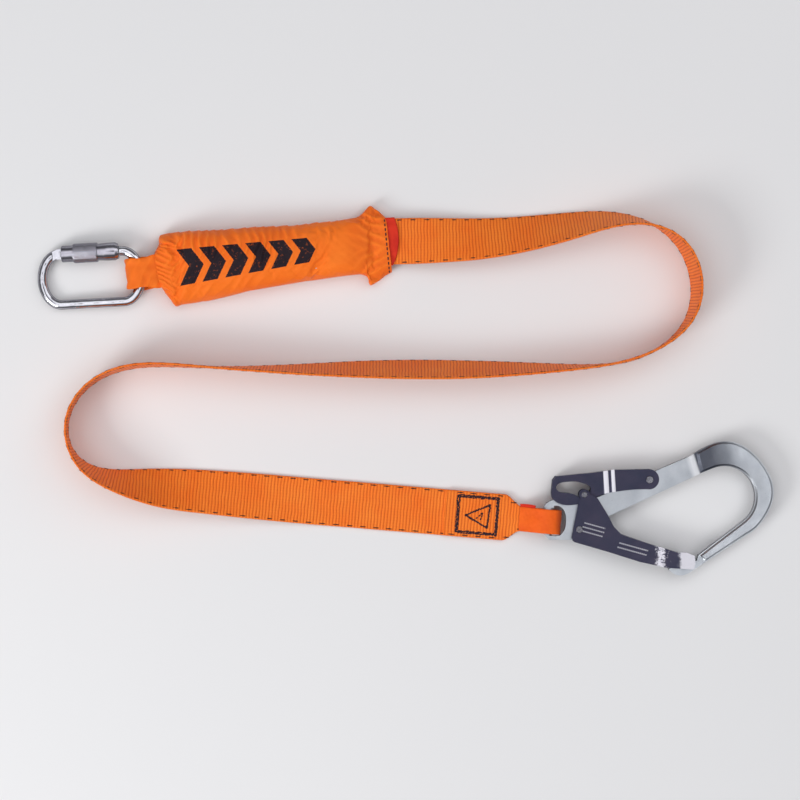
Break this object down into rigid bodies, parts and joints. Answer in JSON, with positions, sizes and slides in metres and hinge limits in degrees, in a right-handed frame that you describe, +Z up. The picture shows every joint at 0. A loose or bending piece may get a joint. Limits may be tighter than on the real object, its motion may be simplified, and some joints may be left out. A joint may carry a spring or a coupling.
{
  "type": "shock absorbing lanyard",
  "caption": "Webbing fall-arrest lanyard with a sewn energy absorber pack, a twist-lock oval carabiner at one end and a double-action scaffold hook at the other.",
  "frame": {"origin": "on the floor under the centre of the laid-out lanyard's bounding box", "axes": "+X along the laid-out length from the carabiner to the scaffold hook, +Y across it towards the absorber pack, +Z up from the floor the lanyard lies on"},
  "size_m": [0.7328, 0.3684, 0.0462],
  "materials": {
    "webbing_orange": "woven polyamide, cross ribs",
    "cover_orange": "plain coated cloth",
    "liner_red": "plain webbing",
    "thread_black": "sewing thread",
    "tear_white": "woven tear webbing",
    "zinc_steel": "bright zinc plated",
    "spring_steel": "plain",
    "forged_alloy": "satin, blue-grey",
    "black_plate": "gloss black"
  },
  "bodies": {
    "webbing": {"main_webbing": "webbing_orange", "hook_loop_sleeve": "cover_orange", "hook_loop_liner": "liner_red", "hook_box_stitching": "thread_black", "carabiner_loop_webbing": "webbing_orange", "carabiner_loop_sleeve": "cover_orange", "absorber_cover": "cover_orange", "tear_webbing": "tear_white", "backup_webbing": "tear_white", "absorber_bar_tacks": "thread_black", "absorber_red_liner": "liner_red", "cover_seam_stitching": "thread_black"},
    "carabiner": {"carabiner_body": "zinc_steel", "carabiner_gate_rivet": "zinc_steel"},
    "carabiner_gate": {"carabiner_gate": "zinc_steel", "carabiner_plunger": "spring_steel", "carabiner_gate_spring": "spring_steel", "carabiner_stop_pin": "spring_steel"},
    "carabiner_sleeve": {"carabiner_lock_sleeve": "zinc_steel", "carabiner_sleeve_spring": "spring_steel"},
    "hook": {"hook_body": "forged_alloy", "hook_gate_rivet": "zinc_steel", "hook_lever_rivet": "zinc_steel", "hook_gate_spacers": "spring_steel", "hook_gate_spring": "spring_steel", "hook_lever_spring": "spring_steel"},
    "hook_gate": {"hook_gate": "black_plate", "hook_lock_pin": "zinc_steel"},
    "hook_lever": {"hook_lock_lever": "black_plate"}
  },
  "joints": [
    {"name": "carabiner_swing", "type": "hinge", "parent": "webbing", "child": "carabiner", "pos_m": [-0.2653, 0.1168, 0.01205], "axis": [-0.1045, 0.9945, 0], "range_deg": [-60, 60]},
    {"name": "hook_swing", "type": "hinge", "parent": "webbing", "child": "hook", "pos_m": [0.14162, -0.13065, 0.0125], "axis": [0.0837, 0.9965, 0], "range_deg": [-80, 80]},
    {"name": "hook_gate_pivot", "type": "hinge", "parent": "hook", "child": "hook_gate", "pos_m": [0.1732, -0.1384, 0.0125], "axis": [0, 0, 1], "range_deg": [0, 28]},
    {"name": "hook_lever_pivot", "type": "hinge", "parent": "hook", "child": "hook_lever", "pos_m": [0.2432, -0.0891, 0.0125], "axis": [0, 0, 1], "range_deg": [0, 4.76]},
    {"name": "carabiner_gate_hinge", "type": "hinge", "parent": "carabiner", "child": "carabiner_gate", "pos_m": [-0.34504, 0.13534, 0.00905], "axis": [0.0567, 0.0815, -0.9951], "range_deg": [0, 20]},
    {"name": "lock_sleeve_twist", "type": "hinge", "parent": "carabiner_gate", "child": "carabiner_sleeve", "pos_m": [-0.31364, 0.13698, 0.01098], "axis": [0.9968, 0.0522, 0.061], "range_deg": [0, 100]}
  ],
  "couplings": [
    {"joint": "hook_lever_pivot", "follows": "hook_gate_pivot", "ratio": 0.17},
    {"joint": "carabiner_gate_hinge", "follows": "lock_sleeve_twist", "ratio": 0.2}
  ]
}
